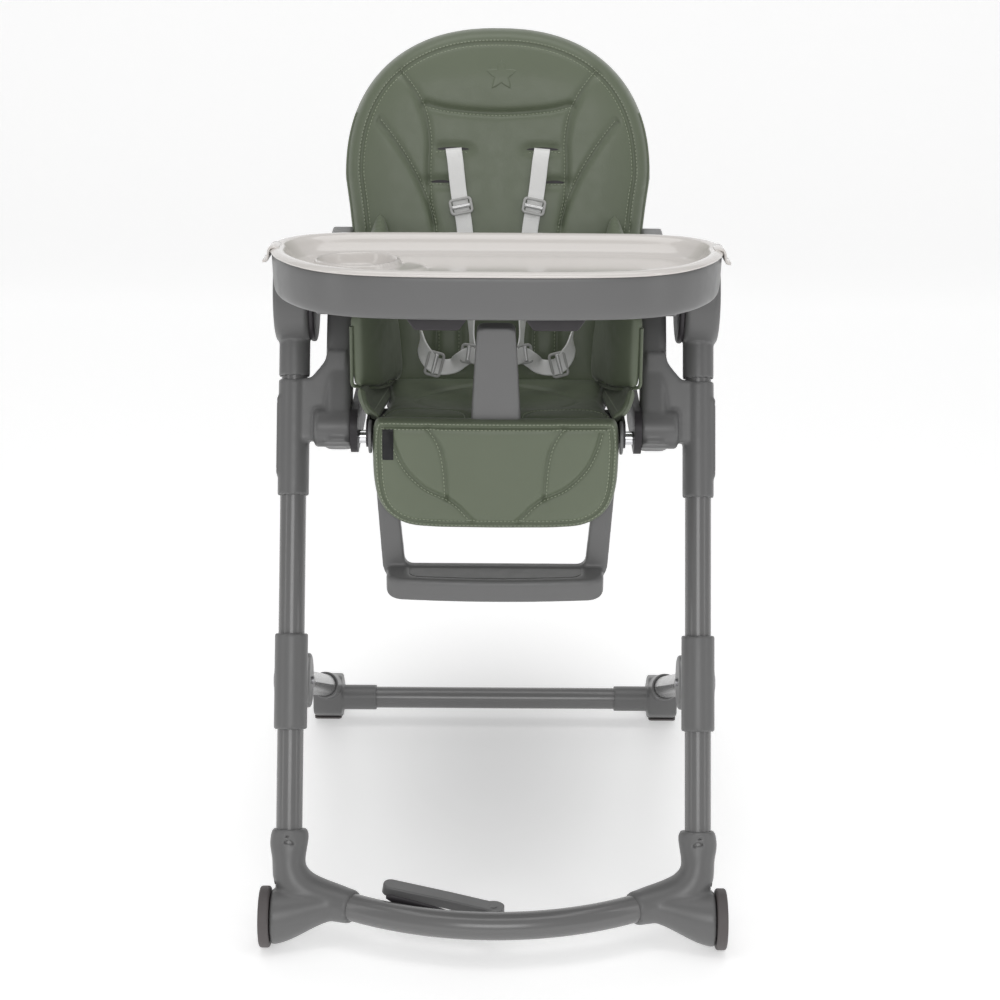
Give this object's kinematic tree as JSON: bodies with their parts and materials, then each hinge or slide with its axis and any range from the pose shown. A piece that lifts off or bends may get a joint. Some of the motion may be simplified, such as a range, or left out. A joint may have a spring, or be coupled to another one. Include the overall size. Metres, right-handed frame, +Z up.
{
  "type": "high chair",
  "caption": "Folding baby high chair on a lambda tube frame, with a padded reclining seat on sliding hangers, calf flap, leg rest, harness, castor wheels and a lift-out tray.",
  "frame": {"origin": "on the floor, in the middle of the chair's footprint", "axes": "+Z up, +Y from the tray towards the backrest, +X towards the sitter's left"},
  "size_m": [0.5744, 0.8079, 1.066],
  "materials": {
    "painted_tube": "satin",
    "grey_moulding": "satin",
    "dark_moulding": "matte",
    "wheel_rubber": "matte",
    "bright_chrome": "polished",
    "zinc_steel": "satin",
    "sage_leatherette": "satin",
    "cream_plastic": "gloss",
    "light_webbing": "woven",
    "grey_buckle": "satin",
    "dark_label": "matte"
  },
  "bodies": {
    "front_frame": {"front_base_bar": "painted_tube", "wheel_axles": "zinc_steel", "pivot_pins": "zinc_steel", "stand_clip": "grey_moulding", "front_corner_left": "grey_moulding", "front_corner_right": "grey_moulding", "front_leg_left": "painted_tube", "front_leg_right": "painted_tube", "leg_collar_left": "grey_moulding", "leg_collar_right": "grey_moulding", "leg_head_left": "grey_moulding", "leg_head_right": "grey_moulding", "leg_head_cover_left": "dark_moulding", "leg_head_cover_right": "dark_moulding"},
    "front_wheel_left": {"front_wheel_left": "wheel_rubber"},
    "front_wheel_right": {"front_wheel_right": "wheel_rubber"},
    "rear_frame": {"rear_foot_pads": "wheel_rubber", "rear_crossbar": "painted_tube", "rear_leg_left": "painted_tube", "rear_leg_right": "painted_tube", "rear_leg_knuckle_left": "grey_moulding", "rear_leg_knuckle_right": "grey_moulding", "rear_foot_left": "grey_moulding", "rear_foot_right": "grey_moulding"},
    "kick_stand": {"kick_stand": "grey_moulding"},
    "fold_button_left": {"fold_button_left": "grey_moulding"},
    "fold_button_right": {"fold_button_right": "grey_moulding"},
    "carriage": {"hanger_screws": "grey_moulding", "cross_tube": "bright_chrome", "recline_pins": "bright_chrome", "seat_shell": "dark_moulding", "seat_pad": "sage_leatherette", "crotch_post": "grey_moulding", "leg_rest_hinges": "grey_moulding", "crotch_strap": "light_webbing", "waist_straps": "light_webbing", "harness_buckle": "grey_buckle", "waist_adjusters": "grey_buckle", "hanger_left": "grey_moulding", "hanger_right": "grey_moulding", "tilt_plate_left": "dark_moulding", "tilt_plate_right": "dark_moulding", "arm_rail_left": "grey_moulding", "arm_rail_right": "grey_moulding"},
    "height_lever_left": {"height_lever_left": "grey_moulding"},
    "height_lever_right": {"height_lever_right": "grey_moulding"},
    "backrest": {"back_pad": "sage_leatherette", "back_shell": "grey_moulding", "shoulder_straps": "light_webbing", "shoulder_adjusters": "grey_buckle"},
    "recline_handle": {"recline_handle": "grey_moulding"},
    "leg_rest": {"leg_rest": "grey_moulding", "footrest_tread": "grey_moulding", "calf_pad": "sage_leatherette", "side_label": "dark_label"},
    "tray": {"tray": "grey_moulding"},
    "tray_insert": {"tray_insert": "cream_plastic", "insert_clips": "cream_plastic"},
    "tray_paddle_left": {"tray_paddle_left": "dark_moulding"},
    "tray_paddle_right": {"tray_paddle_right": "dark_moulding"}
  },
  "joints": [
    {"name": "wheel_spin_left", "type": "hinge", "parent": "front_frame", "child": "front_wheel_left", "pos_m": [-0.2785, -0.34, 0.0375], "axis": [1, 0, 0], "continuous": true},
    {"name": "wheel_spin_right", "type": "hinge", "parent": "front_frame", "child": "front_wheel_right", "pos_m": [0.2785, -0.34, 0.0375], "axis": [1, 0, 0], "continuous": true},
    {"name": "rear_fold", "type": "hinge", "parent": "front_frame", "child": "rear_frame", "pos_m": [0, -0.191, 0.28904], "axis": [1, 0, 0], "range_deg": [0, 60]},
    {"name": "stand_swing", "type": "hinge", "parent": "front_frame", "child": "kick_stand", "pos_m": [0, -0.343, 0.05], "axis": [0, 0, -1], "range_deg": [0, 65]},
    {"name": "button_press_left", "type": "slide", "parent": "front_frame", "child": "fold_button_left", "axis": [1, 0, 0], "range_m": [0, 0.004], "stiffness_N_per_m": 900, "springref_m": -0.001},
    {"name": "button_press_right", "type": "slide", "parent": "front_frame", "child": "fold_button_right", "axis": [-1, 0, 0], "range_m": [0, 0.004], "stiffness_N_per_m": 900, "springref_m": -0.001},
    {"name": "height_slide", "type": "slide", "parent": "front_frame", "child": "carriage", "axis": [0, 0.3665, 0.9304], "range_m": [-0.155, 0]},
    {"name": "lever_pull_left", "type": "hinge", "parent": "carriage", "child": "height_lever_left", "pos_m": [-0.2704, -0.10335, 0.62617], "axis": [0, 0.9304, -0.3665], "range_deg": [0, 12], "stiffness_Nm_per_rad": 0.6, "springref_deg": -2.86},
    {"name": "lever_pull_right", "type": "hinge", "parent": "carriage", "child": "height_lever_right", "pos_m": [0.2704, -0.10335, 0.62617], "axis": [0, -0.9304, 0.3665], "range_deg": [0, 12], "stiffness_Nm_per_rad": 0.6, "springref_deg": -2.86},
    {"name": "back_recline", "type": "hinge", "parent": "carriage", "child": "backrest", "pos_m": [0, 0.005, 0.6], "axis": [-1, 0, 0], "range_deg": [0, 35]},
    {"name": "recline_grip", "type": "slide", "parent": "backrest", "child": "recline_handle", "axis": [0, 0.2147, 0.9767], "range_m": [0, 0.006], "stiffness_N_per_m": 700, "springref_m": -0.002},
    {"name": "leg_rest_lift", "type": "hinge", "parent": "carriage", "child": "leg_rest", "pos_m": [0, -0.239, 0.623], "axis": [-1, 0, 0], "range_deg": [0, 45]},
    {"name": "tray_slide", "type": "slide", "parent": "carriage", "child": "tray", "axis": [0, -0.9991, 0.0419], "range_m": [0, 0.18]},
    {"name": "insert_lift", "type": "slide", "parent": "tray", "child": "tray_insert", "axis": [0, 0.0419, 0.9991], "range_m": [0, 0.06]},
    {"name": "paddle_squeeze_left", "type": "hinge", "parent": "tray", "child": "tray_paddle_left", "pos_m": [-0.0665, -0.35378, 0.81524], "axis": [-1, 0, 0], "range_deg": [0, 8], "stiffness_Nm_per_rad": 0.5, "springref_deg": -2.86},
    {"name": "paddle_squeeze_right", "type": "hinge", "parent": "tray", "child": "tray_paddle_right", "pos_m": [0.0665, -0.35378, 0.81524], "axis": [-1, 0, 0], "range_deg": [0, 8], "stiffness_Nm_per_rad": 0.5, "springref_deg": -2.86}
  ]
}
